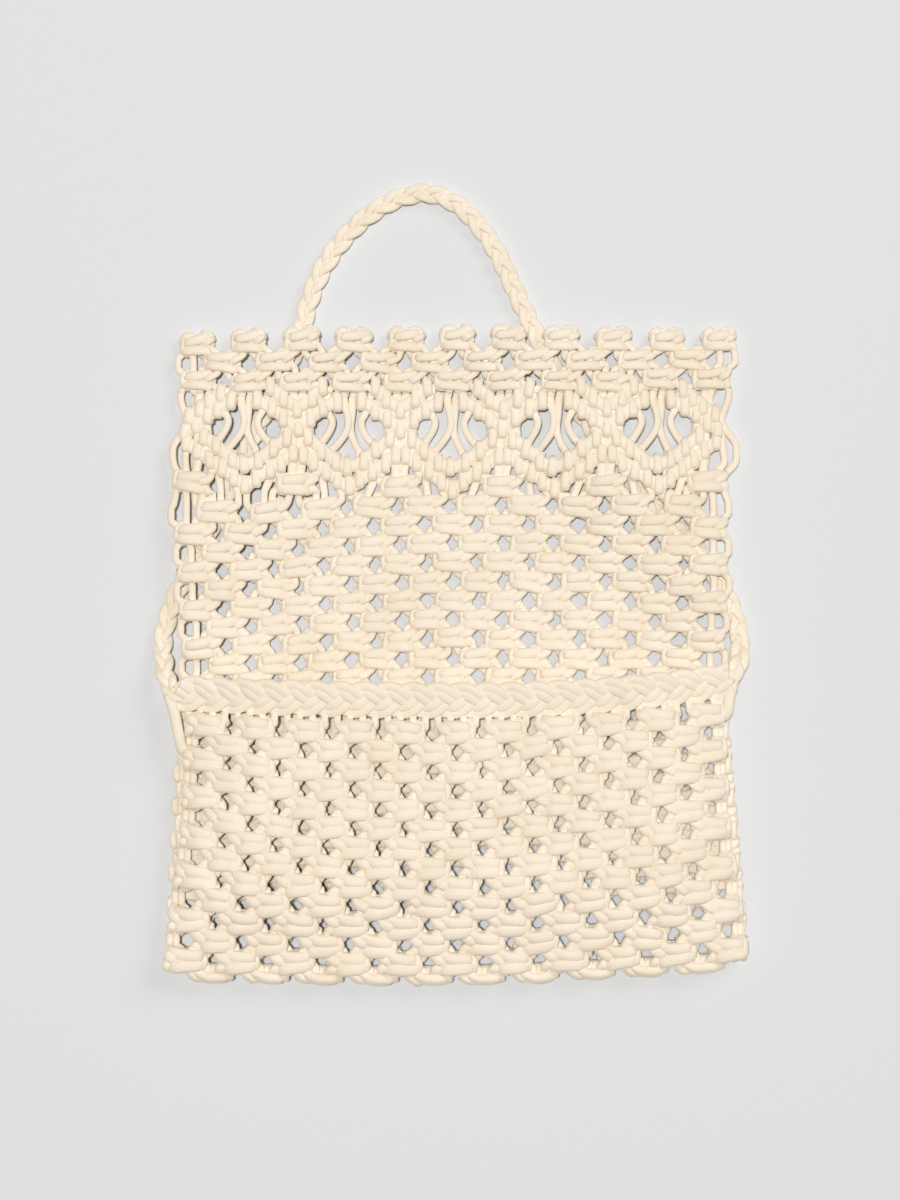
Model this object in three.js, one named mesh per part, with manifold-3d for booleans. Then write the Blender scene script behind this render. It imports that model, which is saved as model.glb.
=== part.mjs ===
// A macrame shoulder bag of cream cotton cord, lying on its back with the flap turned up.
// Millimetres. +X is the right-hand side seen from above, +Y runs from the bottom fold to the strap's top
// and +Z points up from the floor.
import Module from "manifold-3d";
import * as THREE from "three";
import { mergeVertices } from "three/addons/utils/BufferGeometryUtils.js";

const wasm = await Module();
wasm.setup();

// The knotted net
const NET_THICKNESS = 10; // one square knot, front to back
const RIM_THICKNESS = 8; // the cords along a panel's border
const RIM_WIDTH = 14; // the border over which a panel thins to its rim
const JOINT_GAP = 0.3; // between pieces that meet edge to edge
const LAYER_GAP = 0.7; // between the two layers along the pocket's closed sides
const KNOT_COLUMNS = 11;
const BOTTOM_LOBES = 10;

// Lines across the bag, from the flap's end to the bottom fold
const FLAP_END_Y = 130.5;
const PICOT_HEIGHT = 4;
const LACE_TOP_Y = 102.2;
const LACE_BOTTOM_Y = 54.3;
const MOUTH_Y = -55;
const FOLD_Y = -205;
const LOBE_DEPTH = 4;
const FLAP_TILT = 0.015; // rise of the flap's rows towards +X

// Side edges of the two layers at some heights along the bag
const BACK_EDGES = [
  { y: FLAP_END_Y, left: -141.4, right: 148.2 },
  { y: MOUTH_Y, left: -142, right: 143.8 },
  { y: FOLD_Y, left: -147.5, right: 152.5 },
];
const FRONT_EDGES = [
  { y: MOUTH_Y, left: -140.4, right: 146.6 },
  { y: FOLD_Y, left: -148.2, right: 153.9 },
];

// The pocket between the panels
const POCKET_GAP = 8;
const POCKET_SIDE_EASE = 45; // over which the front panel comes down onto the back

// The plaited band along the mouth, which sags between the ends of the strap
const BAND_WIDTH = 17;
const BAND_THICKNESS = 11;
const BAND_LEFT_X = -136;
const BAND_RIGHT_X = 140.4;
const BAND_LOW_X = 8;
const BAND_LOW_Y = -60.3;
const BAND_LEFT_RISE = 3.4;
const BAND_RIGHT_RISE = 12.8;
const BAND_END_Z = 15.5;
const BAND_MIDDLE_Z = 23.4;
const BAND_STATIONS = 15;
const BAND_STEPS = 40;

// The eye-shaped openings of the lace
const EYE_CENTRES_X = [-105.6, -52, 1.6, 55.1, 109.2];
const EYE_CENTRE_Y = 80.3;
const EYE_HALF_WIDTH = 14.6;
const EYE_HALF_HEIGHT = 14.3;
const EYE_POWER = 1.4; // 1 is a diamond, 2 an ellipse
const EYE_SIDES = 16;
const EYE_CUT_DEPTH = 80;

// The plaited strap, from the band's left end to its right end:
// x, y and the height of its middle above the floor
const STRAP_WIDTH = 10.4;
const STRAP_THICKNESS = 8.8;
const STRAP_ROUTE = [
  [-137, -57, 15.5],
  [-140.5, -57, 15.5],
  [-144.5, -54.5, 15.2],
  [-147.5, -49, 13.5],
  [-149, -41.5, 9],
  [-150, -33, 5.2],
  [-149, -23.5, 4.6],
  [-145.5, -12, 4.6],
  [-140, 1, 4.6],
  [-123, 33.5, 4.6],
  [-114, 53, 4.6],
  [-94.5, 95, 4.6],
  [-85, 114, 4.6],
  [-78.5, 128, 4.6],
  [-75.5, 141.5, 4.6],
  [-70.5, 156.5, 4.6],
  [-63.5, 170, 4.6],
  [-54, 182.5, 4.6],
  [-42.5, 193, 4.6],
  [-29, 201, 4.6],
  [-15, 204.5, 4.6],
  [-3.5, 202.5, 4.6],
  [7, 196, 4.6],
  [16.5, 185.5, 4.6],
  [24.5, 173.5, 4.6],
  [31.5, 159, 4.6],
  [38.5, 144, 4.6],
  [49.5, 122, 4.6],
  [63.5, 97, 4.6],
  [94.5, 55, 4.6],
  [126, 21, 4.6],
  [138.5, 5, 4.6],
  [146, -9, 4.6],
  [150.5, -22.5, 4.6],
  [151.2, -30, 5.2],
  [151, -37, 9],
  [149.5, -42.5, 13.5],
  [147, -46.5, 15.2],
  [144, -47.8, 15.5],
  [141.5, -47.8, 15.5],
];
const STRAP_STEPS = 80;
const FLOOR_SAMPLES = 240;
const ROD_SIDES = 10;
const STRAP_FLOOR_Z = 5.5; // the strap lies on the floor where its middle is no higher than this

// The flap's rise over the strap that lies under it
const FLAP_LIFT = 9.4;
const LIFT_PLATEAU = 12; // half the width of the ridge's flat top
const LIFT_EASE = 22; // the slope beside it
const LIFT_START = 25; // the slope from the band up to the ridge

const CORD_LOOK = { color: 0xf5e6d0, roughness: 0.9, metalness: 0 };

const strapCurve = new THREE.CatmullRomCurve3(STRAP_ROUTE.map((point) => new THREE.Vector3(...point)));
const strapOnFloor = strapCurve.getPoints(FLOOR_SAMPLES).filter((point) => point.z < STRAP_FLOOR_Z);

function ease(distance, width) {
  return THREE.MathUtils.smoothstep(distance, 0, width);
}

// A side edge at a height along the bag, straight between the rows of its table and beyond them.
function edgeAt(edges, side, y) {
  const passed = edges.slice(1, -1).filter((row) => y < row.y).length;
  const [above, below] = edges.slice(passed);
  return THREE.MathUtils.mapLinear(y, above.y, below.y, above[side], below[side]);
}

// The thickness of a layer: a full knot inside, thinning to the single cords of its rim.
function thicknessAt(edges, x, y) {
  const toSide = Math.min(x - edgeAt(edges, "left", y), edgeAt(edges, "right", y) - x);
  const toFold = y - (FOLD_Y - LOBE_DEPTH);
  const toEnd = FLAP_END_Y + PICOT_HEIGHT - y;
  const inside = ease(Math.min(toSide, toFold, toEnd), RIM_WIDTH);
  return THREE.MathUtils.lerp(RIM_THICKNESS, NET_THICKNESS, inside);
}

// The height of the flap's underside, which rises over the strap.
function flapUnder(x, y) {
  const reach = Math.min(...strapOnFloor.map((point) => Math.hypot(point.x - x, point.y - y)));
  const ridge = 1 - ease(reach - LIFT_PLATEAU, LIFT_EASE);
  return FLAP_LIFT * ridge * ease(y - bandLine(x) - BAND_WIDTH / 2, LIFT_START);
}

function flapOver(x, y) {
  return flapUnder(x, y) + thicknessAt(BACK_EDGES, x, y);
}

// The height of the front panel's underside, crowned over the pocket.
function frontUnder(x, y) {
  const toSide = Math.min(x - edgeAt(FRONT_EDGES, "left", y), edgeAt(FRONT_EDGES, "right", y) - x);
  const crown = ease(toSide, POCKET_SIDE_EASE) * ease(y - FOLD_Y, POCKET_SIDE_EASE);
  return thicknessAt(BACK_EDGES, x, y) + LAYER_GAP + POCKET_GAP * crown;
}

function frontOver(x, y) {
  return frontUnder(x, y) + thicknessAt(FRONT_EDGES, x, y);
}

// A row of the flap, slightly tilted.
function rowLine(y, x) {
  return y + FLAP_TILT * x;
}

// The middle line of the mouth band.
function bandLine(x) {
  const left = x < BAND_LOW_X;
  const reach = (x - BAND_LOW_X) / ((left ? BAND_LEFT_X : BAND_RIGHT_X) - BAND_LOW_X);
  return BAND_LOW_Y + (left ? BAND_LEFT_RISE : BAND_RIGHT_RISE) * reach * reach;
}

function bandHeight(x) {
  const toEnd = Math.min(x - BAND_LEFT_X, BAND_RIGHT_X - x);
  return THREE.MathUtils.lerp(BAND_END_Z, BAND_MIDDLE_Z, ease(toEnd, POCKET_SIDE_EASE));
}

// A sheet between a lower and an upper line across the bag, whose two faces follow height functions.
function sheet({ columns, rows, edges, bottom, top, under, over }) {
  const geometry = new THREE.BoxGeometry(1, 1, 1, columns, rows, 1);
  const position = geometry.getAttribute("position");
  for (let index = 0; index < position.count; index += 1) {
    const across = position.getX(index) + 0.5;
    const along = position.getY(index) + 0.5;
    const middle = (edges[0].left + edges[0].right) / 2;
    const guess = THREE.MathUtils.lerp(bottom(middle, across), top(middle, across), along);
    const x = THREE.MathUtils.lerp(edgeAt(edges, "left", guess), edgeAt(edges, "right", guess), across);
    const y = THREE.MathUtils.lerp(bottom(x, across), top(x, across), along);
    const z = position.getZ(index) > 0 ? over(x, y) : under(x, y);
    position.setXYZ(index, x, y, z);
  }
  return geometry;
}

// A rod along a curve, with an upright elliptical section.
function rod(curve, thickness, width, steps) {
  const geometry = new THREE.CylinderGeometry(1, 1, 1, ROD_SIDES, steps);
  const position = geometry.getAttribute("position");
  const up = new THREE.Vector3(0, 0, 1);
  for (let index = 0; index < position.count; index += 1) {
    const along = position.getY(index) + 0.5;
    const aside = curve.getTangentAt(along).cross(up).normalize();
    const point = curve.getPointAt(along);
    point.addScaledVector(aside, (width / 2) * position.getX(index));
    point.addScaledVector(up, (thickness / 2) * position.getZ(index));
    position.setXYZ(index, point.x, point.y, point.z);
  }
  return geometry;
}

function toSolid(geometry) {
  const bare = geometry.clone();
  bare.deleteAttribute("normal");
  bare.deleteAttribute("uv");
  const merged = mergeVertices(bare);
  const mesh = new wasm.Mesh({
    numProp: 3,
    vertProperties: new Float32Array(merged.getAttribute("position").array),
    triVerts: new Uint32Array(merged.getIndex().array),
  });
  return new wasm.Manifold(mesh);
}

function toGeometry(solid) {
  const mesh = solid.getMesh();
  const geometry = new THREE.BufferGeometry();
  geometry.setAttribute("position", new THREE.BufferAttribute(mesh.vertProperties, mesh.numProp));
  geometry.setIndex(new THREE.BufferAttribute(mesh.triVerts, 1));
  geometry.computeVertexNormals();
  return geometry;
}

// The prism that opens one eye of the lace, a rounded diamond.
function eyePrism(centreX) {
  const outline = new THREE.Shape();
  const rounded = (value) => Math.sign(value) * Math.abs(value) ** (2 / EYE_POWER);
  const points = Array.from({ length: EYE_SIDES }, (_, side) => {
    const angle = (2 * Math.PI * side) / EYE_SIDES;
    const across = EYE_HALF_WIDTH * rounded(Math.cos(angle));
    const along = EYE_HALF_HEIGHT * rounded(Math.sin(angle));
    return new THREE.Vector2(across, along);
  });
  outline.setFromPoints(points);
  const prism = new THREE.ExtrudeGeometry(outline, { depth: EYE_CUT_DEPTH, bevelEnabled: false });
  prism.translate(centreX, rowLine(EYE_CENTRE_Y, centreX), -EYE_CUT_DEPTH / 2);
  return prism;
}

// The two layers of the pocket, folded and closed along the bottom in a row of lobes
const foldLine = (x, across) => FOLD_Y - LOBE_DEPTH * Math.abs(Math.sin(Math.PI * BOTTOM_LOBES * across));
const mouthLine = (x) => rowLine(MOUTH_Y, x) - JOINT_GAP;
const underBand = (x) => bandLine(x) - BAND_WIDTH / 2 - JOINT_GAP;

const backPanel = sheet({
  columns: 40,
  rows: 10,
  edges: BACK_EDGES,
  bottom: foldLine,
  top: mouthLine,
  under: () => 0,
  over: (x, y) => thicknessAt(BACK_EDGES, x, y),
});
const frontPanel = sheet({
  columns: 40,
  rows: 12,
  edges: FRONT_EDGES,
  bottom: foldLine,
  top: underBand,
  under: frontUnder,
  over: frontOver,
});

// The flap, from the mouth to its picots
const flapNet = sheet({
  columns: 36,
  rows: 14,
  edges: BACK_EDGES,
  bottom: (x) => rowLine(MOUTH_Y, x),
  top: (x) => rowLine(LACE_BOTTOM_Y, x) - JOINT_GAP,
  under: flapUnder,
  over: flapOver,
});
const laceSheet = sheet({
  columns: 36,
  rows: 6,
  edges: BACK_EDGES,
  bottom: (x) => rowLine(LACE_BOTTOM_Y, x),
  top: (x) => rowLine(LACE_TOP_Y, x) - JOINT_GAP,
  under: flapUnder,
  over: flapOver,
});
const eyes = EYE_CENTRES_X.map((centreX) => toSolid(eyePrism(centreX)));
const laceBand = toGeometry(eyes.reduce((lace, eye) => lace.subtract(eye), toSolid(laceSheet)));
const picotRise = (across) => PICOT_HEIGHT * Math.abs(Math.sin(Math.PI * KNOT_COLUMNS * across));
const picotEdge = sheet({
  columns: KNOT_COLUMNS * 4,
  rows: 4,
  edges: BACK_EDGES,
  bottom: (x) => rowLine(LACE_TOP_Y, x),
  top: (x, across) => rowLine(FLAP_END_Y, x) + picotRise(across),
  under: flapUnder,
  over: flapOver,
});

// The band and the strap
const bandStations = Array.from({ length: BAND_STATIONS }, (_, index) => {
  const x = THREE.MathUtils.lerp(BAND_LEFT_X, BAND_RIGHT_X, index / (BAND_STATIONS - 1));
  return new THREE.Vector3(x, bandLine(x), bandHeight(x));
});
const mouthBand = rod(new THREE.CatmullRomCurve3(bandStations), BAND_THICKNESS, BAND_WIDTH, BAND_STEPS);
const shoulderStrap = rod(strapCurve, STRAP_THICKNESS, STRAP_WIDTH, STRAP_STEPS);

const pieces = {
  back_panel: backPanel,
  front_panel: frontPanel,
  flap_net: flapNet,
  lace_band: laceBand,
  picot_edge: picotEdge,
  mouth_band: mouthBand,
  shoulder_strap: shoulderStrap,
};
const bag = new THREE.Group();
for (const [name, geometry] of Object.entries(pieces)) {
  const mesh = new THREE.Mesh(geometry, new THREE.MeshStandardMaterial(CORD_LOOK));
  mesh.name = name;
  bag.add(mesh);
}

export default bag;
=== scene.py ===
"""Looks of a macrame shoulder bag that lies on its back with the flap turned up.

Sizes are millimetres in the part's frame and become metres where meshes are made.
The net is one strip of cords, knotted from the flap's picots down the back, round the
bottom fold and up the front to the mouth band. A point of the strip has x across the bag,
s along the strip (0 where the back meets the fold) and w out of the face that lies
uppermost on the flap.
"""

import math

import bpy
import numpy as np
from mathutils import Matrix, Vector


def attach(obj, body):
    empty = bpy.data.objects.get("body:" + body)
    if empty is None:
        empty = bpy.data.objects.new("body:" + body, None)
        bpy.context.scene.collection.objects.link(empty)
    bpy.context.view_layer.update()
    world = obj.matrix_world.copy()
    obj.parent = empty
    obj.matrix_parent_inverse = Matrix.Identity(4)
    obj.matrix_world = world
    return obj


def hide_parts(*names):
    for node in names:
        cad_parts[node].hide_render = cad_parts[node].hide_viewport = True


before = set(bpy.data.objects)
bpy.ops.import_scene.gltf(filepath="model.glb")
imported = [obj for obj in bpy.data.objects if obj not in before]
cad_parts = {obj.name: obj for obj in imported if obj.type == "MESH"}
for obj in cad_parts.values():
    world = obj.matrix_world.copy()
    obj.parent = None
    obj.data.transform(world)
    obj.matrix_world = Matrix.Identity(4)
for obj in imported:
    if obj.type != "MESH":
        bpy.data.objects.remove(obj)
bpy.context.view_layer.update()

MM = 0.001
UP = (0.0, 0.0, 1.0)
SEED = 11
rng = np.random.default_rng(SEED)

# The cord and its tubes; a girth is a share of the radius
CORD_RADIUS = 2.1
LANE_GIRTH = 0.74
FLOAT_GIRTH = 0.74
PRESSED = {"flat": 0.55, "corner_points": 2, "wide": 1.18, "high": 0.95}
LEVEL_PULL = 0.8  # how strongly a cord's flat side turns level with the net
SECTION_START = (0.31, 0.17, 0.93)  # a direction that no cord starts along
RING_STEP, BACK_RING_STEP, FRONT_RING_STEP = 1.7, 2.05, 1.9  # from one ring of a tube to the next
FINE_STEPS = 5  # of a spline, from one point to the next
UV_MAP = "cord"
CAP_AROUND = 0.5  # where a tube's ends lie in the pattern of the braid

# The knots: a table at this column and row pitch, stretched to each row's own
COLUMNS = 11
MIDDLE_COLUMN = COLUMNS // 2
COLUMN_CORDS = 4
CORDS = COLUMN_CORDS * COLUMNS
KNOT_PITCH = 26.68
KNOT_ROW = 10.0
CORE_ASIDE = 2.2
WORKING_ASIDE = KNOT_PITCH / 2 - CORE_ASIDE
LANES = (-WORKING_ASIDE, -CORE_ASIDE, CORE_ASIDE, WORKING_ASIDE)
STUB_LANES = (-10.0, -3.33, 3.33, 10.0)  # evenly spread where the cords go under the mouth band
# How much the knots and the points of their cords differ, as standard deviations
KNOT_SHIFT = 0.4
KNOT_TURN = 0.065
KNOT_SCALE = 0.04
POINT_SHIFT = 0.2

# The left working cord of a square knot: across, up, out and girth.
# The right working cord is the same path turned half round the knot's upright axis.
KNOT_LOOP = np.array(
    [
        (-10.1, 3.5, -1.2, 0.78),
        (-8.0, 2.1, -2.1, 0.90),
        (-6.0, 1.1, -2.2, 0.95),
        (-4.4, 0.7, -1.2, 0.95),
        (-5.0, 1.3, 0.2, 0.95),
        (-7.3, 2.0, 0.9, 0.98),
        (-5.2, 2.3, 1.8, 1.08),
        (-2.0, 2.5, 2.3, 1.16),
        (2.0, 2.9, 2.3, 1.16),
        (4.9, 3.7, 1.6, 1.08),
        (7.2, 4.0, -0.2, 0.98),
        (7.6, 2.2, -0.7, 0.92),
        (7.8, 0.0, -1.1, 0.94),
        (7.6, -1.9, -0.7, 0.92),
        (7.2, -3.3, -0.2, 0.98),
        (5.2, -3.2, 1.4, 1.10),
        (2.4, -2.8, 2.3, 1.16),
        (-1.0, -2.6, 2.4, 1.16),
        (-4.2, -2.5, 2.0, 1.12),
        (-6.4, -2.3, 1.5, 1.04),
        (-7.7, -2.1, 0.5, 0.98),
        (-8.1, -2.2, -1.0, 0.92),
        (-8.8, -2.7, -1.5, 0.86),
        (-10.1, -3.5, -1.1, 0.78),
    ]
)
KNOT_CORE = np.array([(-2.0, 2.5, 0.0, 0.9), (-2.0, -2.5, 0.0, 0.9)])
# Factors that turn or mirror such a path
HALF_TURN = np.array([-1, 1, -1, 1])
MIRROR = np.array([-1, 1, 1, 1])
UPSIDE_DOWN = np.array([1, -1, 1, 1])

# Each picot's two ears: a folded cord whose halves go on as a working cord and a core cord
PICOT_WORKING = np.array(
    [(-3.7, 5.2, -0.2, 1.0), (-5.0, 5.5, -0.1, 1.0), (-7.4, 4.6, 0.2, 1.0), (-8.8, 2.7, -0.8, 1.0)]
)
PICOT_CORE = np.array([(-6.1, 5.2, -0.2, 1.0), (-4.8, 5.5, -0.1, 1.0), (-2.6, 4.4, -0.6, 1.0)])

# Rows of knots, from the flap's end to the mouth band
FLAP_END_ROWS_Y = (127.1, 116.2, 105.8)
LACE_ROW = len(FLAP_END_ROWS_Y)  # the first row below the lace
LACE_FOOT_ROW_Y = 50.7
FLAP_FIRST_Y, FLAP_LAST_Y, FLAP_ROWS = 41.3, -48.1, 10
BACK_LAST_Y, BACK_ROWS = -196.8, 16
FRONT_TOP_Y, FRONT_ROWS = -76.7, 13

# The bag's left and right edges: how far the end columns' cords reach outward from their columns
FLAP_REACH = (7.6, 8.8)
FRONT_REACH = (9.3, 7.0)
# The two cords that pass beside the half rows at each edge: outward from the end column, and out of the net
FLAP_FLOATS = (((9.9, 0.0), (2.0, 0.0)), ((10.8, 0.0), (2.9, 0.0)))
POCKET_FLOATS = (((9.6, 4.5), (6.0, 3.5)), ((7.3, 4.5), (4.5, 3.5)))
FLOAT_HALF = 3.2

# The bag's shape
NET_HALF = 5.0
FOLD_Y = -199.3
FOLD_RADIUS = 5.0
FOLD_ARC = math.pi * FOLD_RADIUS
MOUTH_Y = -55.0
POCKET_GAP = 8.0
SIDE_EASE = 45.0
FRONT_EDGE_Y = (FOLD_Y, MOUTH_Y)
FRONT_LEFT_X = (-148.0, -140.4)
FRONT_RIGHT_X = (153.5, 146.6)
SLOPE_REACH = 0.5
# The flap's ridge over the strap: its lift, half its flat top, its slopes, and its rise beside the band
FLAP_LIFT = 6.3
LIFT_PLATEAU, LIFT_EASE, LIFT_START = 8.0, 42.0, 25.0

# How the rows bend: y, then how far the left and the right end lie above the middle
BEND_REACH = 140.0
FRONT_BENDS = {
    "rows": (
        (FOLD_Y, 2.0, 6.8),
        (-176.0, 3.0, 7.8),
        (-146.0, 7.3, 11.0),
        (-95.0, 7.3, 11.0),
        (FRONT_TOP_Y, 4.0, 9.0),
    ),
    "powers": (2.5, 1.3),
}
FLAP_BENDS = {
    "rows": (
        (FLAP_LAST_Y, -4.6, -0.8),
        (31.4, -5.8, -1.9),
        (45.2, -4.2, -0.5),
        (46.0, 3.0, 3.0),
        (FLAP_END_ROWS_Y[2], -0.2, 2.0),
        (FLAP_END_ROWS_Y[1], -1.0, 2.6),
        (FLAP_END_ROWS_Y[0], -2.4, -0.5),
    ),
    "powers": (1.3, 2.5),
}

# The columns: y, the middle column's x and the columns' pitch, on the flap and back and on the front
BACK_COLUMNS = np.array(
    [
        (127.1, 4.0, 27.2),
        (105.8, 2.0, 26.8),
        (40.3, -0.6, 26.93),
        (20.4, 0.7, 26.65),
        (0.6, 1.2, 26.65),
        (-19.3, 1.5, 26.3),
        (-39.2, 1.25, 26.3),
        (FOLD_Y, 4.0, 28.3),
    ]
)
FRONT_COLUMNS = np.array(
    [
        (FOLD_Y, 4.0, 28.3),
        (-176.0, 3.6, 27.75),
        (-156.0, 3.6, 27.15),
        (-135.6, 3.6, 26.5),
        (-105.0, 3.6, 26.25),
        (FRONT_TOP_Y, 3.6, 26.0),
    ]
)

# The lace has crossings of hitched lines at the even columns and eyes at the odd ones.
# A hitched line is a row of (across, up) for its hitches, from the column on the lace's middle line;
# a crossing's lines are those on its left. An eye's feet are hitched at their middle points only.
LACE_Y = 80.3
HITCH_LINES = (
    ((0.0, 11.4), (-7.4, 16.4), (-13.4, 22.2)),
    ((0.0, 0.8), (-6.8, 6.0), (-13.2, 11.0), (-20.3, 15.2)),
    ((-5.4, -4.4), (-12.3, -10.0), (-19.8, -16.6)),
    ((-2.6, -13.0), (-8.2, -17.4), (-14.6, -21.6), (-21.0, -26.6)),
)
EDGE_LINES = (
    ((2.6, 6.6), (-2.8, 10.6), (-8.3, 14.9), (-13.8, 19.8)),
    ((4.2, -1.6), (-1.3, 2.4), (-7.0, 6.6), (-13.2, 10.6), (-20.3, 15.2)),
    HITCH_LINES[2],
    ((3.0, -8.6), *HITCH_LINES[3]),
)
EYE_FEET = (
    ((-7.6, -16.4), (-0.6, -19.4), (7.6, -16.4)),
    ((-6.4, -26.6), (0.4, -30.2), (6.4, -26.6)),
)
HITCH_HALF_HEIGHT = 3.3
HITCH_HALF_DEPTH = 1.8
HITCH_TILT = 0.22  # each hitch leans out at its foot, over the next line
HITCH_GIRTH = 1.0
HITCH_POINTS = 16
HITCH_SQUARENESS = 0.45  # 1 is an oval loop, lower is squarer
HITCH_LEAN = 0.06
LEADER_GIRTH = 1.35
# The cords' ways through the lace: an eye's four, a crossing's left two and the two at the bag's left edge,
# each point as across, up, out and girth
EYE_FLOATS = (
    (
        (-11.5, 14.5, -2.4, 0.80),
        (-10.4, 8.2, 0.2, 0.76),
        (-8.8, 4.8, 0.8, 0.76),
        (-9.7, 0.4, 0.8, 0.76),
        (-13.0, -5.2, 0.4, 0.76),
        (-16.0, -11.0, -2.2, 0.80),
        (-14.0, -25.0, -2.0, 0.90),
    ),
    (
        (-2.4, 17.0, -2.2, 0.80),
        (-2.0, 12.5, 0.0, 0.80),
        (-0.8, 7.2, 1.0, 0.76),
        (-0.6, 2.2, 1.2, 0.76),
        (-2.6, -2.8, 1.2, 0.76),
        (-7.0, -8.8, 0.6, 0.76),
        (-11.4, -14.0, -2.0, 0.80),
        (-7.0, -27.0, -2.2, 0.90),
    ),
    (
        (2.2, 17.0, -2.2, 0.80),
        (1.8, 12.5, -0.4, 0.80),
        (1.4, 7.2, 0.2, 0.76),
        (0.8, 2.2, -0.2, 0.76),
        (1.2, -2.2, 0.0, 0.76),
        (3.2, -7.8, 0.4, 0.76),
        (5.4, -13.0, -1.6, 0.80),
        (4.0, -28.0, -2.2, 0.90),
    ),
    (
        (10.5, 14.5, -2.4, 0.80),
        (8.8, 9.2, 0.2, 0.76),
        (6.4, 5.0, 0.8, 0.76),
        (6.8, 0.8, 0.8, 0.76),
        (9.4, -4.2, 0.6, 0.76),
        (13.0, -9.6, -2.0, 0.80),
        (13.0, -25.0, -2.0, 0.90),
    ),
)
CROSSING_RUNS = (
    (
        (-9.5, 14.0, -1.4, 1.15),
        (-5.8, 3.0, -1.2, 1.20),
        (-7.0, -8.0, -1.2, 1.15),
        (-8.2, -17.0, -0.5, 1.00),
        (-9.8, -21.0, 0.0, 1.00),
    ),
    (
        (-2.3, 14.0, -1.2, 1.10),
        (-2.3, 3.0, -1.2, 1.15),
        (-2.5, -8.0, -1.0, 1.15),
        (-2.3, -16.0, -0.3, 1.00),
    ),
)
EDGE_RUNS = (
    (
        (-6.9, 20.5, 0.2, 0.74),
        (-7.2, 15.5, 0.4, 0.74),
        (-5.2, 9.0, 0.2, 0.74),
        (-3.5, 2.0, -0.5, 0.80),
        (-7.5, -4.5, 0.0, 0.78),
        (-10.6, -9.5, 0.4, 0.74),
        (-11.2, -15.0, 0.4, 0.74),
        (-10.4, -20.5, 0.4, 0.74),
    ),
    (
        (1.0, 20.0, -0.5, 0.76),
        (2.8, 14.0, -0.5, 0.76),
        (0.5, 7.0, -1.5, 0.86),
        (-2.0, 0.0, -1.5, 0.86),
        (-3.6, -7.0, -0.5, 0.78),
        (-4.4, -14.0, 0.2, 0.74),
        (-4.4, -20.5, 0.2, 0.74),
    ),
)
RIGHT_EDGE_OUT = 3.0  # how much farther out the cords at the right edge lie

# Where one piece of the net ends and the next starts, along the strip
NET_PIECES = ("picot_edge", "lace_band", "flap_net", "back_panel", "front_panel")
PICOT_EDGE_END_Y, LACE_END_Y, FLAP_NET_END_Y = 100.6, 55.7, -54.4
BACK_END_S = 2.7
PIECE_ENDS_S = (FOLD_Y - PICOT_EDGE_END_Y, FOLD_Y - LACE_END_Y, FOLD_Y - FLAP_NET_END_Y, BACK_END_S)
PIECE_STEPS = (RING_STEP, RING_STEP, RING_STEP, BACK_RING_STEP, FRONT_RING_STEP)
SLOTS = {
    "picot_edge": "lace",
    "lace_band": "lace",
    "flap_net": "net",
    "back_panel": "net",
    "front_panel": "net",
    "mouth_band": "plait",
    "shoulder_strap": "plait",
}

# How full and how wide the knots are, in four zones along the strip:
# the picots, the flap's end above the lace, the flap and back, and the front
PICOT_ROW_END_Y = 120.0
ZONE_ENDS_S = (FOLD_Y - PICOT_ROW_END_Y, FOLD_Y - PICOT_EDGE_END_Y, 0.0)
ZONE_GIRTHS = (0.87, 0.83, 1.0, 1.13)
ZONE_SHARES = (0.88, 1.0, 1.0, 1.04)

# The plaits: a strand's radius and its plies side by side, how far the strand swings aside and up,
# the plait's roll about its line and the length of one turn
PLAIT_STRANDS = 3
PLAIT_STEP = 1.5
BAND = {"strand": 2.5, "plies": (-1.9, 1.9), "aside": 5.3, "up": -0.9, "roll": 0.3, "period": 37.9}
BAND_SECTION = {"flat": 0.4, "corner_points": 3, "wide": 1.1, "high": 0.8}
STRAP = {"strand": 2.0, "plies": (0.0,), "aside": 3.0, "up": 1.5, "roll": 0.0, "period": 33.0}
STRAP_SECTION = {"flat": 0.4, "corner_points": 3, "wide": 1.12, "high": 0.88}

# The mouth band's line, which sags between its ends and rises with the pocket
BAND_LEFT_X, BAND_RIGHT_X, BAND_LOW_X = -136.0, 140.4, 8.0
BAND_LOW_Y, BAND_LEFT_RISE, BAND_RIGHT_RISE = -60.0, 3.4, 9.4
BAND_END_Z, BAND_MIDDLE_Z = 17.4, 24.0
BAND_TUCK = 3.5  # how deep the net's cords go in under the band
BAND_WIDTH = 17.0
BAND_OVERRUN = 5.0
BAND_STATIONS = 200

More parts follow.
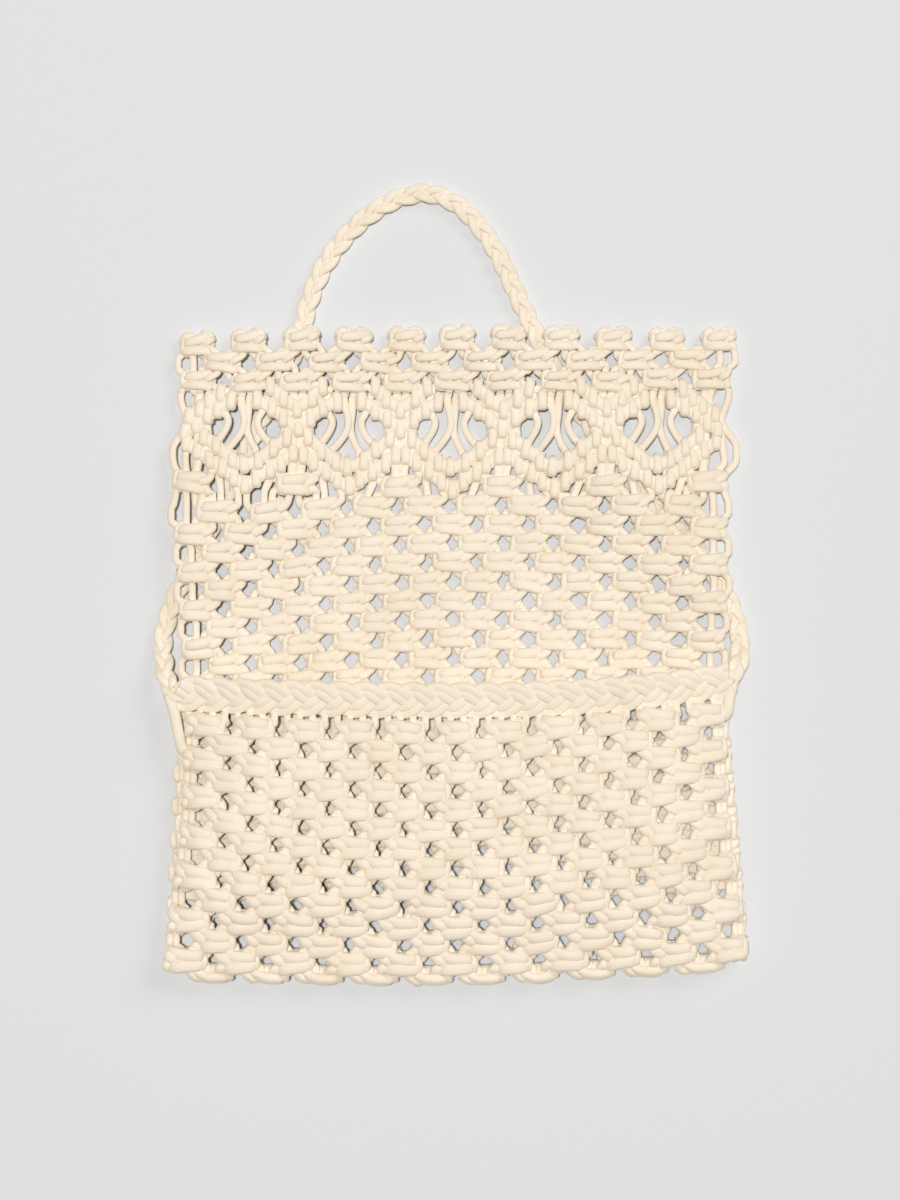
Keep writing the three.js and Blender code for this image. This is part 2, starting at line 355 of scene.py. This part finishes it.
# The strap's route: x, y and the height of its middle above the floor
STRAP_ROUTE = np.array(
    [
        (-137.0, -57.0, 15.5),
        (-140.5, -57.0, 15.5),
        (-144.5, -54.5, 15.2),
        (-147.5, -49.0, 13.5),
        (-149.0, -41.5, 9.0),
        (-150.0, -33.0, 4.4),
        (-149.0, -23.5, 3.5),
        (-145.5, -12.0, 3.5),
        (-140.0, 1.0, 3.5),
        (-123.0, 33.5, 3.5),
        (-114.0, 53.0, 3.5),
        (-94.5, 95.0, 3.5),
        (-85.0, 114.0, 3.5),
        (-78.5, 128.0, 3.5),
        (-75.5, 141.5, 3.5),
        (-70.5, 156.5, 3.5),
        (-63.5, 170.0, 3.5),
        (-54.0, 182.5, 3.5),
        (-42.5, 193.0, 3.5),
        (-29.0, 201.0, 3.5),
        (-15.0, 204.5, 3.5),
        (-3.5, 202.5, 3.5),
        (7.0, 196.0, 3.5),
        (16.5, 185.5, 3.5),
        (24.5, 173.5, 3.5),
        (31.5, 159.0, 3.5),
        (38.5, 144.0, 3.5),
        (49.5, 122.0, 3.5),
        (63.5, 97.0, 3.5),
        (94.5, 55.0, 3.5),
        (126.0, 21.0, 3.5),
        (138.5, 5.0, 3.5),
        (146.0, -9.0, 3.5),
        (150.5, -22.5, 3.5),
        (151.2, -30.0, 4.4),
        (151.0, -37.0, 9.0),
        (149.5, -42.5, 13.5),
        (147.0, -46.5, 15.2),
        (144.0, -47.8, 15.5),
        (141.5, -47.8, 15.5),
    ]
)
STRAP_FLOOR_Z = 5.5
STRAP_SPARSE = 3  # every third point is enough to find the flap's distance from the strap
# The strap's tails, each one strand down a side of the pocket: x, y and height
TAIL_RADIUS = 2.4
STRAP_TAILS = (
    (
        (-146.0, -57.0, 15.0),
        (-142.7, -67.9, 17.0),
        (-140.7, -78.3, 16.5),
        (-138.8, -86.0, 14.0),
        (-136.0, -88.0, 11.0),
    ),
    ((147.0, -50.0, 15.0), (144.6, -60.0, 17.0), (143.8, -66.0, 16.5), (141.5, -69.0, 14.0)),
)

# Looks
CREAM_LIGHT = (0.90, 0.805, 0.66, 1)
CREAM_DARK = (0.85, 0.74, 0.58, 1)
LIGHT_FROM, DARK_UP_TO = 0.6, 0.3  # tones at which a cord is wholly light or wholly dark
SHADE_SHARE, FIBRE_SHARE = 0.8, 0.2  # what the slow shade and the fibres give to the tone
CORD_ROUGHNESS = 0.85
CORD_SPECULAR = 0.2
FUZZ = 0.6
FUZZ_ROUGHNESS = 0.5
FUZZ_TINT = (1.0, 0.93, 0.82, 1)
BRAID_PER_TURN = 5.0
BRAID_PER_MM = 0.45
BRAID_DEPTH = 0.16
BRAID_SHARE = 0.5  # the braid's height in the bump, beside the fibres' 1
BUMP_STRENGTH = 0.5
FIBRE_SCALE, FIBRE_DETAIL = 2600.0, 2.0
SHADE_SCALE, SHADE_DETAIL = 38.0, 3.0
FLOOR_GREY = (0.70, 0.714, 0.721, 1)
FLOOR_HALF_M = 10.0

# Camera in millimetres; lights in metres and watts
CAMERA_HEIGHT = 1800.0
VIEW_CENTRE_Y = -8.06
VIEW_HEIGHT = 624.0
VIEW_PLANE_Z = 12.0
SENSOR_HEIGHT = 24.0
KEY_LIGHT = {"place": (-0.26, 0.27, 5.0), "size": 0.35, "power": 202}
FILL_LIGHT = {"place": (4.2, 3.4, 5.0), "size": 4.5, "power": 125}
AMBIENT = 0.14
AMBIENT_COLOUR = (1.0, 0.8, 0.6, 1)
LIGHT_COLOUR = (0.992, 1.0, 1.02)


def ease(t):
    """A smooth step from 0 to 1."""
    t = np.clip(t, 0, 1)
    return t * t * (3 - 2 * t)


def unit(vectors):
    return vectors / np.linalg.norm(vectors, axis=-1, keepdims=True)


def spline(points, steps=FINE_STEPS):
    """A Catmull-Rom run through the rows of points, with that many steps between neighbours."""
    padded = np.vstack([2 * points[0] - points[1], points, 2 * points[-1] - points[-2]])
    p0, p1, p2, p3 = padded[:-3], padded[1:-2], padded[2:-1], padded[3:]
    t = (np.arange(steps) / steps)[:, None, None]
    square = 2 * p0 - 5 * p1 + 4 * p2 - p3
    cube = 3 * (p1 - p2) + p3 - p0
    run = p1 + 0.5 * (t * (p2 - p0) + t**2 * square + t**3 * cube)
    return np.vstack([run.transpose(1, 0, 2).reshape(-1, points.shape[1]), points[-1]])


def lengths(points):
    """The length along a run up to each of its points."""
    steps = np.linalg.norm(np.diff(points[:, :3], axis=0), axis=1)
    return np.concatenate([[0], np.cumsum(steps)])


def even_steps(points, step):
    """The same run with rows at even steps of its first three columns' length."""
    along = lengths(points)
    stations = np.linspace(0, along[-1], max(3, round(along[-1] / step) + 1))
    return np.column_stack([np.interp(stations, along, column) for column in points.T])


strap_line = even_steps(spline(STRAP_ROUTE), PLAIT_STEP)
strap_on_floor = strap_line[strap_line[:, 2] < STRAP_FLOOR_Z][::STRAP_SPARSE, :2]


def band_y(x):
    """The middle line of the mouth band, which sags between the ends of the strap."""
    left = (x - BAND_LOW_X) / (BAND_LEFT_X - BAND_LOW_X)
    right = (x - BAND_LOW_X) / (BAND_RIGHT_X - BAND_LOW_X)
    return BAND_LOW_Y + np.where(x < BAND_LOW_X, BAND_LEFT_RISE * left**2, BAND_RIGHT_RISE * right**2)


def back_height(x, y):
    """The middle of the net's thickness on the flap, which rises over the strap, and on the back."""
    strap_x, strap_y = strap_on_floor.T
    reach = np.min(np.hypot(x[:, None] - strap_x, y[:, None] - strap_y), axis=1)
    ridge = 1 - ease((reach - LIFT_PLATEAU) / LIFT_EASE)
    return NET_HALF + FLAP_LIFT * ridge * ease((y - band_y(x) - BAND_WIDTH / 2) / LIFT_START)


def front_height(x, y):
    """The middle of the net's thickness on the front panel, crowned over the pocket."""
    left = np.interp(y, FRONT_EDGE_Y, FRONT_LEFT_X)
    right = np.interp(y, FRONT_EDGE_Y, FRONT_RIGHT_X)
    crown = ease(np.minimum(x - left, right - x) / SIDE_EASE) * ease((y - FOLD_Y) / SIDE_EASE)
    return NET_HALF + 2 * FOLD_RADIUS + POCKET_GAP * crown


def bend(x, y, rows, powers):
    """How far a point of a row lies above the row's middle."""
    row_y, left, right = np.array(rows).T
    reach = np.abs(x) / BEND_REACH
    on_left = np.interp(y, row_y, left) * reach ** powers[0]
    on_right = np.interp(y, row_y, right) * reach ** powers[1]
    return np.where(x < 0, on_left, on_right)


def back_bend(x, y):
    """The same for the flap and the back, which goes over to the front's bend at the fold."""
    up = ease((y - FOLD_Y) / (MOUTH_Y - FOLD_Y))
    return (1 - up) * bend(x, FOLD_Y, **FRONT_BENDS) + up * bend(x, y, **FLAP_BENDS)


def upward(height, x, y):
    """The unit normals of a height function."""
    slope_x = height(x + SLOPE_REACH, y) - height(x - SLOPE_REACH, y)
    slope_y = height(x, y + SLOPE_REACH) - height(x, y - SLOPE_REACH)
    return unit(np.column_stack([-slope_x, -slope_y, np.full_like(x, 2 * SLOPE_REACH)]))


def strip_surface(x, s):
    """Points of the strip's middle surface in the part's frame, and the way out of its face there."""
    back_y = FOLD_Y - np.minimum(s, 0)
    back_y = back_y + back_bend(x, back_y)
    front_y = FOLD_Y + np.maximum(s - FOLD_ARC, 0)
    front_y = front_y + bend(x, front_y, **FRONT_BENDS)
    back_z = back_height(x, back_y)
    front_z = front_height(x, front_y)
    angle = np.clip(s, 0, FOLD_ARC) / FOLD_RADIUS - math.pi / 2
    inward = np.column_stack([np.zeros_like(x), np.cos(angle), -np.sin(angle)])
    fold = np.column_stack([x, back_y, (back_z + front_z) / 2]) - FOLD_RADIUS * inward
    on_back = (s < 0)[:, None]
    on_front = (s > FOLD_ARC)[:, None]
    points = np.where(on_front, np.column_stack([x, front_y, front_z]), fold)
    points = np.where(on_back, np.column_stack([x, back_y, back_z]), points)
    outs = np.where(on_front, -upward(front_height, x, front_y), inward)
    outs = np.where(on_back, upward(back_height, x, back_y), outs)
    return points, outs


def back_s(y):
    return FOLD_Y - y


def front_s(y):
    return FOLD_ARC + y - FOLD_Y


COLUMN_S = np.append(back_s(BACK_COLUMNS[:, 0]), front_s(FRONT_COLUMNS[:, 0]))
COLUMN_AXIS = np.append(BACK_COLUMNS[:, 1], FRONT_COLUMNS[:, 1])
COLUMN_PITCH = np.append(BACK_COLUMNS[:, 2], FRONT_COLUMNS[:, 2])


def column_x(column, s):
    axis = np.interp(s, COLUMN_S, COLUMN_AXIS)
    return axis + (column - MIDDLE_COLUMN) * np.interp(s, COLUMN_S, COLUMN_PITCH)


def column_stretch(s):
    return np.interp(s, COLUMN_S, COLUMN_PITCH) / KNOT_PITCH


def within_edges(x, s):
    """The end columns' outer cords are pulled in to the bag's edges."""
    left = column_x(0, s) - np.where(s > 0, FRONT_REACH[0], FLAP_REACH[0])
    right = column_x(COLUMNS - 1, s) + np.where(s > 0, FRONT_REACH[1], FLAP_REACH[1])
    return np.clip(x, left, right)


def net_rows():
    """Each row's place along the strip, the first column of its knots and their spacing in columns."""
    full, half, even = (0, 1), (0.5, 1), (0, 2)
    rows = [(back_s(y), *kind) for y, kind in zip(FLAP_END_ROWS_Y, (full, half, full))]
    rows.append((back_s(LACE_FOOT_ROW_Y), *even))
    flap = np.linspace(FLAP_FIRST_Y, FLAP_LAST_Y, FLAP_ROWS)
    back = np.linspace(FLAP_LAST_Y, BACK_LAST_Y, BACK_ROWS + 1)[1:]
    rows += [(back_s(y), *(half, full)[index % 2]) for index, y in enumerate(np.append(flap, back))]
    rows.append((FOLD_ARC / 2, *half))
    front = np.linspace(BACK_LAST_Y, FRONT_TOP_Y, FRONT_ROWS)
    rows += [(front_s(y), *(full, half)[index % 2]) for index, y in enumerate(front)]
    return rows


class Knot:
    """One square knot's place, with its own small shift, turn and size."""

    def __init__(self, column, s, row_pitch):
        zone = np.digitize(s, ZONE_ENDS_S)
        self.girth = ZONE_GIRTHS[zone]
        self.x = column_x(column, s) + rng.normal(0, KNOT_SHIFT)
        self.s = s + rng.normal(0, KNOT_SHIFT)
        self.turn = rng.normal(0, KNOT_TURN)
        self.wide = ZONE_SHARES[zone] * column_stretch(s) * (1 + rng.normal(0, KNOT_SCALE))
        self.tall = row_pitch / KNOT_ROW

    def points(self, table):
        """A cord's path through the knot: x, s, w and girth."""
        across = table[:, 0] * self.wide + rng.normal(0, POINT_SHIFT, len(table))
        s = self.s - table[:, 1] * self.tall - self.turn * across
        out = table[:, 2] + rng.normal(0, POINT_SHIFT, len(table))
        return np.column_stack([within_edges(self.x + across, s), s, out, table[:, 3] * self.girth])


def knot_tables(s):
    """The paths of a knot's four cords, from left to right; the front is knotted from the mouth down."""
    loop = KNOT_LOOP[::-1] * UPSIDE_DOWN if s > 0 else KNOT_LOOP
    return (loop, KNOT_CORE, KNOT_CORE * MIRROR, loop * HALF_TURN)


def picot_tables():
    return (PICOT_WORKING, PICOT_CORE, PICOT_CORE * MIRROR, PICOT_WORKING * MIRROR)


def lane_point(cord, s, lanes, out=0.0):
    """A cord's place between two rows."""
    column, role = divmod(cord, COLUMN_CORDS)
    x = column_x(column, s) + lanes[role] * column_stretch(s)
    return np.array([[within_edges(x, s), s, out, LANE_GIRTH]])


def float_point(cord, s):
    """A cord's place where it passes beside a row's end knot."""
    left, right = POCKET_FLOATS if s > back_s(MOUTH_Y) else FLAP_FLOATS
    if cord < CORDS / 2:
        outward, out = left[cord]
        x = column_x(0, s) - outward
    else:
        outward, out = right[CORDS - 1 - cord]
        x = column_x(COLUMNS - 1, s) + outward
    return np.array([(x, place, out, FLOAT_GIRTH) for place in (s - FLOAT_HALF, s, s + FLOAT_HALF)])


def lace_points(cord):
    """A cord's way through the lace."""
    column, role = divmod(cord, COLUMN_CORDS)
    side = min(role, COLUMN_CORDS - 1 - role)
    at_edge = cord in (0, 1, CORDS - 2, CORDS - 1)
    if column % 2:
        table = np.array(EYE_FLOATS[role])
    else:
        table = np.array(EDGE_RUNS[side] if at_edge else CROSSING_RUNS[side])
        table = table * MIRROR if role > 1 else table
        if cord >= CORDS - 2:
            table = table + (RIGHT_EDGE_OUT, 0, 0, 0)
    s = back_s(LACE_Y)
    return np.column_stack([column_x(column, s) + table[:, 0], s - table[:, 1], table[:, 2:]])


def knot_of(cord, start, step):
    """The column and role that a cord has in a row, or None where it passes beside the row's knots."""
    group, role = divmod(cord - round(COLUMN_CORDS * start), COLUMN_CORDS)
    if group % step or not 0 <= group <= COLUMNS - 1 - 2 * start:
        return None
    return start + group, role


def make_knots(rows, borders):
    """Every knot of the strip by its row and column; those beside the lace keep the table's height."""
    knots = {}
    for index, (s, start, step) in enumerate(rows):
        above = borders[index - 1] if index else 2 * s - borders[0]
        pitch = KNOT_ROW if index in (LACE_ROW - 1, LACE_ROW) else borders[index] - above
        for column in np.arange(start, COLUMNS - start, step):
            knots[index, column] = Knot(column, s, pitch)
    return knots


def cord_run(cord, rows, borders, knots):
    """The control points of one cord from its picot to the mouth band.

    The picot stands for the first point of the cord's first knot. In the lace's foot row,
    the only one with a step of 2, the cords between the knots run straight on.
    """
    column, role = divmod(cord, COLUMN_CORDS)
    run = [knots[0, column].points(picot_tables()[role])]
    for index, (s, start, step) in enumerate(rows):
        if index == LACE_ROW:
            run.append(lace_points(cord))
        knot = knot_of(cord, start, step)
        if knot is not None:
            table = knot_tables(s)[knot[1]]
            run.append(knots[index, knot[0]].points(table if index else table[1:]))
        elif step == 1:
            run.append(float_point(cord, s))
        border = s + KNOT_ROW / 2 if index == LACE_ROW - 1 else borders[index]
        run.append(lane_point(cord, border, STUB_LANES if index == len(rows) - 1 else LANES))
    run.append(lane_point(cord, front_s(BAND_LOW_Y), STUB_LANES, BAND_TUCK))
    return np.vstack(run)


def cord_runs():
    rows = net_rows()
    places = np.array([row[0] for row in rows])
    borders = np.append((places[:-1] + places[1:]) / 2, places[-1] + KNOT_ROW / 2)
    knots = make_knots(rows, borders)
    return [cord_run(cord, rows, borders, knots) for cord in range(CORDS)]


def section_frames(points, ups):
    """The cross directions of a cord's section at each point, level with the net where they can be."""
    tangents = unit(np.gradient(points, axis=0))
    guides = np.cross(tangents, ups)
    aside = np.cross(tangents[0], SECTION_START)
    asides = np.empty_like(points)
    for index, (tangent, guide) in enumerate(zip(tangents, guides)):
        aside = aside - tangent * aside.dot(tangent)
        aside = aside / math.sqrt(aside.dot(aside))
        aside = aside + math.copysign(LEVEL_PULL, aside.dot(guide)) * guide
        aside = aside / math.sqrt(aside.dot(aside))
        asides[index] = aside
    return asides, np.cross(tangents, asides)


def pressed_section(flat, corner_points, wide, high):
    """The section of a pressed cord: a box with that share of each side flat and round corners."""
    turn = np.linspace(0, math.pi / 2, corner_points)
    corner = flat + (1 - flat) * np.column_stack([np.cos(turn), np.sin(turn)])
    half = np.vstack([corner, corner[::-1] * (-1, 1)])
    return np.vstack([half, -half]) * (wide, high)


CORD_SECTION = pressed_section(**PRESSED)


class Tubes:
    """Collects cords as tubes of quads in arrays, and makes them one mesh object."""

    def __init__(self):
        self.vertices = []
        self.quads = []
        self.uvs = []
        self.count = 0

    def add(self, points, radii, ups, section=CORD_SECTION, start=0.0):
        """A capped tube; start is the cord's length so far, for the pattern of its braid."""
        asides, aboves = section_frames(points, ups)
        ring = section[:, :1] * asides[:, None] + section[:, 1:] * aboves[:, None]
        self.vertices.append((points[:, None] + radii[:, None, None] * ring).reshape(-1, 3))
        along = start + lengths(points)
        sides = len(section)
        self.add_walls(len(points), sides, along)
        self.add_caps(len(points), sides, along)
        self.count += len(points) * sides

    def add_walls(self, rings, sides, along):
        ring, side = np.meshgrid(np.arange(rings - 1), np.arange(sides), indexing="ij")
        after = (side + 1) % sides
        low, high = ring * sides, (ring + 1) * sides
        corners = np.stack([low + side, low + after, high + after, high + side], axis=-1)
        around = np.stack([side, side + 1, side + 1, side], axis=-1) / sides
        height = along[np.stack([ring, ring, ring + 1, ring + 1], axis=-1)]
        self.quads.append(corners.reshape(-1, 4) + self.count)
        self.uvs.append(np.stack([around, height], axis=-1).reshape(-1, 4, 2))

    def add_caps(self, rings, sides, along):
        low = np.arange(sides // 2 - 1)
        cap = np.stack([low, low + 1, sides - 2 - low, sides - 1 - low], axis=-1)
        last = (rings - 1) * sides
        for quads, height in ((cap[:, ::-1], along[0]), (cap + last, along[-1])):
            self.quads.append(quads + self.count)
            self.uvs.append(np.full((len(quads), 4, 2), (CAP_AROUND, height)))

    def make(self, name, material):
        """One smooth mesh object that stands for the named piece."""
        vertices = np.vstack(self.vertices) * MM
        quads = np.vstack(self.quads).astype(np.int32)
        uvs = np.vstack(self.uvs).astype(np.float32)
        mesh = bpy.data.meshes.new(name)
        mesh.vertices.add(len(vertices))
        mesh.vertices.foreach_set("co", vertices.astype(np.float32).ravel())
        mesh.loops.add(quads.size)
        mesh.loops.foreach_set("vertex_index", quads.ravel())
        mesh.polygons.add(len(quads))
        mesh.polygons.foreach_set("loop_start", np.arange(0, quads.size, 4, dtype=np.int32))
        mesh.uv_layers.new(name=UV_MAP).data.foreach_set("uv", uvs.ravel())
        mesh.update(calc_edges=True)
        mesh.polygons.foreach_set("use_smooth", np.ones(len(quads), dtype=bool))
        mesh.materials.append(material)
        obj = bpy.data.objects.new(name + "_cords", mesh)
        bpy.context.collection.objects.link(obj)
        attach(obj, "root")
        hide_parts(name)


def add_net(pieces):
    """Every cord of the strip, split where one piece ends and the next starts."""
    for run in cord_runs():
        fine = spline(run)
        points, outs = strip_surface(fine[:, 0], fine[:, 1])
        line = np.column_stack([points + fine[:, 2:3] * outs, outs, fine[:, 3]])
        along = lengths(line)
        piece = np.digitize(fine[:, 1], PIECE_ENDS_S)
        cuts = np.flatnonzero(np.diff(piece)) + 1
        for first, last in zip(np.append(0, cuts), np.append(cuts, len(line))):
            part = even_steps(line[first : last + 1], PIECE_STEPS[piece[first]])
            spots, ups, girths = np.split(part, (3, 6), axis=1)
            tubes = pieces[NET_PIECES[piece[first]]]
            tubes.add(spots, CORD_RADIUS * girths[:, 0], ups, start=along[first])


def add_hitch(lace, x, s):
    """A half hitch round its leader, as an upright loop that runs two points past its start."""
    angle = 2 * math.pi * np.arange(HITCH_POINTS + 2) / HITCH_POINTS
    up = HITCH_HALF_HEIGHT * np.sign(np.cos(angle)) * np.abs(np.cos(angle)) ** HITCH_SQUARENESS
    out = HITCH_HALF_DEPTH * np.sign(np.sin(angle)) * np.abs(np.sin(angle)) ** HITCH_SQUARENESS
    up = up * (1 + rng.normal(0, KNOT_SCALE))
    lean = rng.normal(0, HITCH_LEAN)
    points, outs = strip_surface(x + lean * up, s - up)
    out = out - HITCH_TILT * up
    lace.add(points + out[:, None] * outs, np.full(len(up), HITCH_GIRTH * CORD_RADIUS), outs)


def add_leader(lace, spots):
    """The cord inside a hitched line."""
    fine = even_steps(spline(np.array(spots)), RING_STEP)
    points, outs = strip_surface(fine[:, 0], fine[:, 1])
    lace.add(points, np.full(len(points), LEADER_GIRTH * CORD_RADIUS), outs)


def crossing_lines(column):
    """The hitched lines at an even column, on each side that has a neighbour."""
    sides = [side for side in (1, -1) if 0 <= column - 2 * side < COLUMNS]
    table = HITCH_LINES if len(sides) == 2 else EDGE_LINES
    return [[(side * across, up) for across, up in line] for side in sides for line in table]


def add_hitches(lace):
    """The hitched lines of the lace."""
    s = back_s(LACE_Y)
    for column in range(COLUMNS):
        middle = column_x(column, s)
        if column % 2:
            lines = EYE_FEET
            spots = {line[1] for line in lines}
        else:
            lines = crossing_lines(column)
            spots = {spot for line in lines for spot in line}
        for line in lines:
            add_leader(lace, [(middle + across, s - up, 0.0) for across, up in line])
        for across, up in sorted(spots):
            shift = rng.normal(0, KNOT_SHIFT, 2)
            add_hitch(lace, middle + across + shift[0], s - up + shift[1])


def band_line():
    x = np.linspace(BAND_LEFT_X - BAND_OVERRUN, BAND_RIGHT_X + BAND_OVERRUN, BAND_STATIONS)
    to_end = np.minimum(x - BAND_LEFT_X, BAND_RIGHT_X - x)
    z = BAND_END_Z + (BAND_MIDDLE_Z - BAND_END_Z) * ease(to_end / SIDE_EASE)
    return even_steps(np.column_stack([x, band_y(x), z]), PLAIT_STEP)


def add_plait(tubes, line, section, strand, plies, aside, up, roll, period):
    """Strands of side by side plies, plaited along a line; the plait is rolled about it."""
    tangents = unit(np.gradient(line, axis=0))
    level = unit(np.cross(UP, tangents))
    upright = np.cross(tangents, level)
    across = level * math.cos(roll) + upright * math.sin(roll)
    above = upright * math.cos(roll) - level * math.sin(roll)
    for number in range(PLAIT_STRANDS):
        phase = 2 * math.pi * (lengths(line) / period + number / PLAIT_STRANDS)[:, None]
        middle = line + aside * np.sin(phase) * across + up * np.sin(2 * phase) * above
        beside = unit(np.cross(above, np.gradient(middle, axis=0)))
        for ply in plies:
            tubes.add(middle + ply * beside, np.full(len(line), strand), above, section)


def add_tails(tubes):
    """The ends of the strap that run down the pocket's sides."""
    for tail in STRAP_TAILS:
        points = even_steps(spline(np.array(tail)), PLAIT_STEP)
        ups = np.tile(UP, (len(points), 1))
        tubes.add(points, np.full(len(points), TAIL_RADIUS), ups)


class Nodes:
    """Makes and links the nodes of one material."""

    def __init__(self, material):
        material.use_nodes = True
        self.tree = material.node_tree
        self.shader = self.tree.nodes["Principled BSDF"]

    def add(self, kind, inputs=None, **settings):
        """A node with its settings; an input is a value, a socket or a node whose first output it takes."""
        made = self.tree.nodes.new(kind)
        for name, value in settings.items():
            setattr(made, name, value)
        for name, value in (inputs or {}).items():
            self.feed(made.inputs[name], value)
        return made

    def feed(self, socket, value):
        if isinstance(value, bpy.types.Node):
            value = value.outputs[0]
        if isinstance(value, bpy.types.NodeSocket):
            self.tree.links.new(value, socket)
        else:
            socket.default_value = value

    def noise(self, place, scale, detail):
        return self.add("ShaderNodeTexNoise", {"Vector": place, "Scale": scale, "Detail": detail})

    def math(self, operation, first, second=0.0):
        return self.add("ShaderNodeMath", {0: first, 1: second}, operation=operation)


def make_cord_material():
    """Matte cotton cord: a fine braid along it, fibres, and slight changes of shade."""
    material = bpy.data.materials.new("cotton cord")
    nodes = Nodes(material)
    uv = nodes.add("ShaderNodeUVMap", uv_map=UV_MAP)
    split = nodes.add("ShaderNodeSeparateXYZ", {0: uv})
    around = nodes.math("MULTIPLY", split.outputs["X"], 2 * math.pi * BRAID_PER_TURN)
    along = nodes.math("MULTIPLY", split.outputs["Y"], 2 * math.pi * BRAID_PER_MM)
    one_way = nodes.math("SINE", nodes.math("ADD", around, along))
    other_way = nodes.math("SINE", nodes.math("SUBTRACT", around, along))
    braid = nodes.math("MAXIMUM", one_way, other_way)
    place = nodes.add("ShaderNodeTexCoord").outputs["Object"]
    fibre = nodes.noise(place, FIBRE_SCALE, FIBRE_DETAIL)
    shade = nodes.noise(place, SHADE_SCALE, SHADE_DETAIL)
    height = nodes.math("ADD", nodes.math("MULTIPLY", braid, BRAID_SHARE), fibre)
    relief = {"Height": height, "Strength": BUMP_STRENGTH, "Distance": BRAID_DEPTH * MM}
    bump = nodes.add("ShaderNodeBump", relief)
    slow = nodes.math("MULTIPLY", shade, SHADE_SHARE)
    fine = nodes.math("MULTIPLY", fibre, FIBRE_SHARE)
    ramp = nodes.add("ShaderNodeValToRGB", {"Fac": nodes.math("ADD", slow, fine)})
    dark, light = ramp.color_ramp.elements
    dark.position, dark.color = DARK_UP_TO, CREAM_DARK
    light.position, light.color = LIGHT_FROM, CREAM_LIGHT
    nodes.feed(nodes.shader.inputs["Base Color"], ramp)
    nodes.feed(nodes.shader.inputs["Normal"], bump)
    nodes.shader.inputs["Roughness"].default_value = CORD_ROUGHNESS
    nodes.shader.inputs["Specular IOR Level"].default_value = CORD_SPECULAR
    nodes.shader.inputs["Sheen Weight"].default_value = FUZZ
    nodes.shader.inputs["Sheen Roughness"].default_value = FUZZ_ROUGHNESS
    nodes.shader.inputs["Sheen Tint"].default_value = FUZZ_TINT
    return material


def make_floor():
    mesh = bpy.data.meshes.new("floor")
    corners = [(-1, -1), (1, -1), (1, 1), (-1, 1)]
    mesh.from_pydata([(FLOOR_HALF_M * x, FLOOR_HALF_M * y, 0) for x, y in corners], [], [(0, 1, 2, 3)])
    material = bpy.data.materials.new("pale floor")
    shader = Nodes(material).shader
    shader.inputs["Base Color"].default_value = FLOOR_GREY
    shader.inputs["Roughness"].default_value = 1.0
    shader.inputs["Specular IOR Level"].default_value = 0.0
    mesh.materials.append(material)
    floor = bpy.data.objects.new("floor", mesh)
    bpy.context.collection.objects.link(floor)


def add_camera():
    """Straight above the bag, its view as wide as the photograph's."""
    data = bpy.data.cameras.new("camera")
    data.sensor_fit = "VERTICAL"
    data.sensor_height = SENSOR_HEIGHT
    data.lens = SENSOR_HEIGHT * (CAMERA_HEIGHT - VIEW_PLANE_Z) / VIEW_HEIGHT
    camera = bpy.data.objects.new("camera", data)
    camera.location = (0, VIEW_CENTRE_Y * MM, CAMERA_HEIGHT * MM)
    bpy.context.collection.objects.link(camera)
    bpy.context.scene.camera = camera


def add_light(name, place, size, power):
    """A round soft light that faces the bag."""
    data = bpy.data.lights.new(name, "AREA")
    data.shape = "DISK"
    data.size = size
    data.energy = power
    data.color = LIGHT_COLOUR
    light = bpy.data.objects.new(name, data)
    light.location = place
    light.rotation_euler = (-Vector(place)).to_track_quat("-Z", "Y").to_euler()
    bpy.context.collection.objects.link(light)


def add_studio():
    """A key light above the bag, a broad fill from the upper right and a little light from all round."""
    add_light("key", **KEY_LIGHT)
    add_light("fill", **FILL_LIGHT)
    world = bpy.data.worlds.new("studio")
    world.use_nodes = True
    world.node_tree.nodes["Background"].inputs["Color"].default_value = AMBIENT_COLOUR
    world.node_tree.nodes["Background"].inputs["Strength"].default_value = AMBIENT
    bpy.context.scene.world = world
    bpy.context.scene.view_settings.view_transform = "Standard"


def make_bag():
    pieces = {name: Tubes() for name in SLOTS}
    add_net(pieces)
    add_hitches(pieces["lace_band"])
    add_plait(pieces["mouth_band"], band_line(), pressed_section(**BAND_SECTION), **BAND)
    add_plait(pieces["shoulder_strap"], strap_line, pressed_section(**STRAP_SECTION), **STRAP)
    add_tails(pieces["shoulder_strap"])
    material = make_cord_material()
    for name, tubes in pieces.items():
        tubes.make(name, material)


add_camera()
add_studio()
make_floor()
make_bag()
